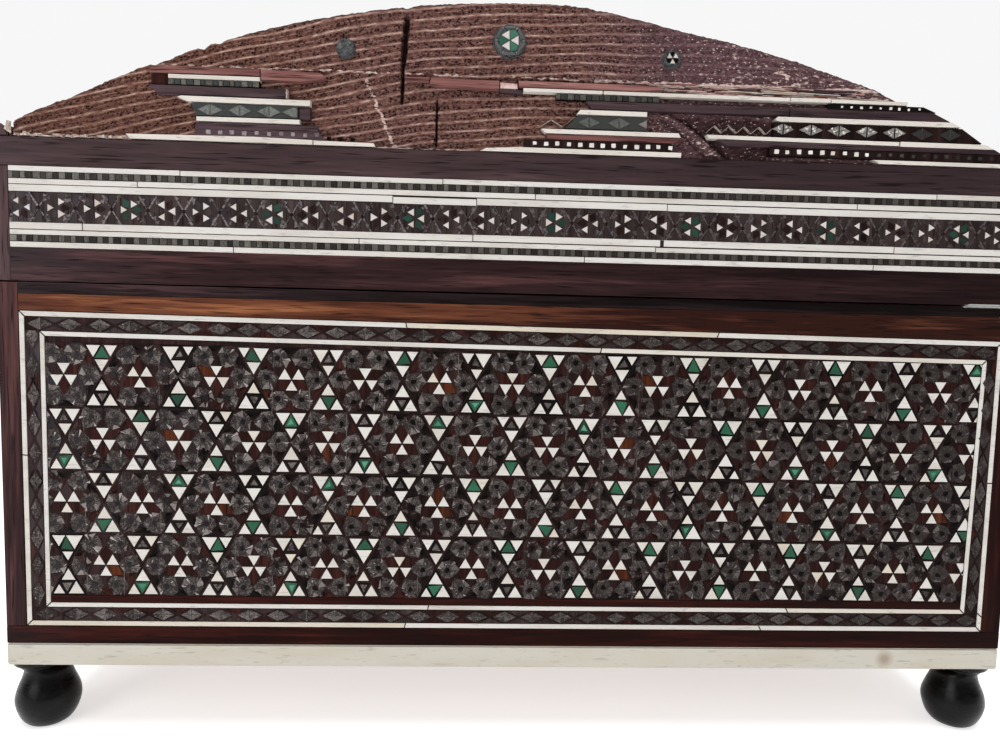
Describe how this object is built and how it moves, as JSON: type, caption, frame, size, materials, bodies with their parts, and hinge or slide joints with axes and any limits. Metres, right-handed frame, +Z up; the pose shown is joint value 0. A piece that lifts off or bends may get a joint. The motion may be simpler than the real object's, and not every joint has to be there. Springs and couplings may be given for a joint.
{
  "type": "inlaid domed box",
  "caption": "Barrel-topped wooden casket with geometric mosaic inlay, bone plinth strips, turned bun feet and a lid hinged along the back.",
  "frame": {"origin": "on the ground under the middle of the box, level with the soles of its feet", "axes": "+X along the box's length towards the gable with the bare board, +Y from the front to the hinged back, +Z up"},
  "size_m": [0.29, 0.206, 0.1456],
  "materials": {
    "rosewood_marquetry": "satin",
    "bare_board": "matte",
    "bone": "satin",
    "ebonised_wood": "satin",
    "veneer_strips": "satin",
    "steel": "satin"
  },
  "bodies": {
    "base": {"floor_board": "bare_board", "plinth_front_strip": "bone", "plinth_back_strip": "bone", "plinth_left_strip": "bone", "plinth_right_strip": "bone", "base_front_board": "rosewood_marquetry", "base_back_board": "rosewood_marquetry", "base_left_board": "rosewood_marquetry", "base_right_board": "rosewood_marquetry", "foot_front_left": "ebonised_wood", "foot_front_right": "ebonised_wood", "foot_back_left": "ebonised_wood", "foot_back_right": "ebonised_wood", "hinge_base_leaf": "steel", "hinge_pin": "steel"},
    "lid": {"lid_front_board": "rosewood_marquetry", "lid_back_board": "rosewood_marquetry", "lid_left_gable": "rosewood_marquetry", "lid_right_gable": "rosewood_marquetry", "lid_dome_panel": "rosewood_marquetry", "veneer_remnant_front": "veneer_strips", "veneer_remnant_back": "veneer_strips", "stud_small_front": "veneer_strips", "stud_large": "veneer_strips", "stud_small_back": "veneer_strips", "hinge_lid_leaf": "steel"}
  },
  "joints": [
    {"name": "lid_hinge", "type": "hinge", "parent": "base", "child": "lid", "pos_m": [0, 0.0974, 0.0904], "axis": [-1, 0, 0], "range_deg": [0, 105]}
  ]
}
